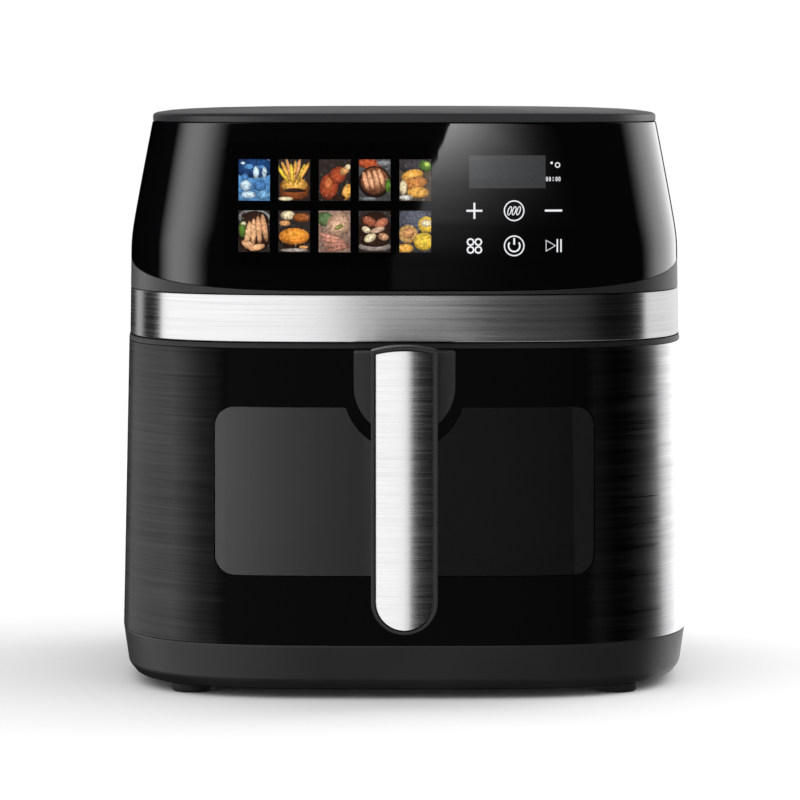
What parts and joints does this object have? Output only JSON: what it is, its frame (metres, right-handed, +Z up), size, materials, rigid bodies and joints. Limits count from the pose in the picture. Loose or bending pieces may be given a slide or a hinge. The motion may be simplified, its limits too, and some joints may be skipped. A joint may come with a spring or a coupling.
{
  "type": "air fryer",
  "caption": "Single-drawer air fryer with a windowed basket drawer, vertical bar handle, touch panel with food menu display and a brushed steel band.",
  "frame": {"origin": "centre of the overall bounding box at the level of the feet's undersides", "axes": "+X to the right seen from the front, -Y out of the front towards the user, +Z up"},
  "size_m": [0.3168, 0.384, 0.319],
  "materials": {
    "matte_black": "fine spark texture, dark grey",
    "soft_black": "satin black",
    "gloss_black": "polished black",
    "brushed": "horizontal brushing",
    "dark_brushed": "dark tinted horizontal brushing",
    "sheet_steel": "plain aluminised sheet",
    "nonstick": "dark non-stick coating",
    "smoked_glass": "polished smoked glass",
    "clear_glass": "polished clear glass",
    "rubber": "matt black rubber",
    "circuit": "green laminate",
    "copper": "enamelled copper winding",
    "zinc": "bright zinc plated",
    "display": "dark display glass",
    "lamp": "white ceramic lamp holder"
  },
  "bodies": {
    "housing": {"base_tub": "matte_black", "bottom_plate": "soft_black", "body_shell": "dark_brushed", "deck_frame": "soft_black", "steel_band": "brushed", "head_shell": "matte_black", "control_panel": "gloss_black", "rear_vent_grille": "matte_black", "top_cover": "matte_black", "cord_gland": "rubber", "chamber_liner": "sheet_steel", "heater_coil": "zinc", "heater_guard": "zinc", "heater_bracket_a": "zinc", "heater_bracket_b": "zinc", "heater_bracket_c": "zinc", "heat_shield": "sheet_steel", "temperature_probe": "zinc", "thermal_fuse": "zinc", "chamber_lamp": "lamp", "lamp_lens": "clear_glass", "rail_left": "sheet_steel", "rail_right": "sheet_steel", "motor_body": "zinc", "motor_bracket": "sheet_steel", "cooling_duct": "soft_black", "power_board": "circuit", "board_transformer": "copper", "board_capacitor": "zinc", "display_module": "display", "led_display": "display", "touch_board": "circuit", "control_board": "circuit", "interlock_switch": "soft_black", "foot_front_left": "rubber", "foot_front_right": "rubber", "foot_rear_left": "rubber", "foot_rear_right": "rubber"},
    "drawer": {"drawer_front": "gloss_black", "window_glass": "smoked_glass", "drawer_inner_frame": "soft_black", "window_seal": "rubber", "pan_bracket": "soft_black", "pan": "nonstick", "pan_window_glass": "clear_glass", "handle_boss": "matte_black", "handle_grip": "soft_black", "handle_cover": "brushed", "handle_screw_lower": "zinc", "handle_screw_upper": "zinc"},
    "plate": {"crisper_plate": "nonstick", "plate_bumper_front_left": "rubber", "plate_bumper_front_right": "rubber", "plate_bumper_rear_left": "rubber", "plate_bumper_rear_right": "rubber"},
    "rotor": {"motor_shaft": "zinc", "hot_air_fan": "sheet_steel", "cooling_fan": "soft_black", "fan_nut": "zinc"},
    "plunger": {"interlock_plunger": "zinc"}
  },
  "joints": [
    {"name": "drawer_slide", "type": "slide", "parent": "housing", "child": "drawer", "axis": [0, -1, 0], "range_m": [0, 0.28]},
    {"name": "plate_lift", "type": "slide", "parent": "drawer", "child": "plate", "axis": [0, 0, 1], "range_m": [0, 0.115]},
    {"name": "fan_spin", "type": "hinge", "parent": "housing", "child": "rotor", "pos_m": [0, 0.008, 0.245], "axis": [0, 0, 1], "continuous": true},
    {"name": "interlock_plunger_push", "type": "slide", "parent": "housing", "child": "plunger", "axis": [0, 1, 0], "range_m": [0, 0.002], "stiffness_N_per_m": 200}
  ]
}
